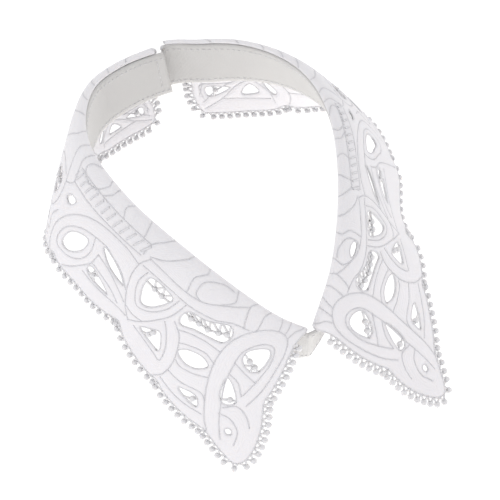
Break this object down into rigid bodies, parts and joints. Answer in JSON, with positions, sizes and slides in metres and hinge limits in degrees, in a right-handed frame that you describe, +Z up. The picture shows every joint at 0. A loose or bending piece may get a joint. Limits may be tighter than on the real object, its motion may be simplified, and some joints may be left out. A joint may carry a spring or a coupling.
{
  "type": "lace collar",
  "caption": "Detachable pointed lace collar in worn form: two folded lace leaves with picot edges on a narrow cotton neck band that laps at the back.",
  "frame": {"origin": "middle of the neck opening, midway between the centre front and the centre back of the band's top edge", "axes": "+Z up, -Y the way the wearer faces, +X the wearer's left"},
  "size_m": [0.1536, 0.1518, 0.1318],
  "materials": {
    "cotton_band": "plain woven white cotton, matte",
    "guipure_lace": "white satin-stitched cotton lace with raised cords, soft sheen",
    "picot_cord": "white twisted cotton knots, matte",
    "fastening_tape": "white hook and loop tape, matte"
  },
  "bodies": {
    "root": {"neck_band": "cotton_band", "leaf_right": "guipure_lace", "leaf_left": "guipure_lace", "picot_edge_right": "picot_cord", "picot_edge_left": "picot_cord", "hook_tape": "fastening_tape", "loop_tape": "fastening_tape"}
  },
  "joints": []
}
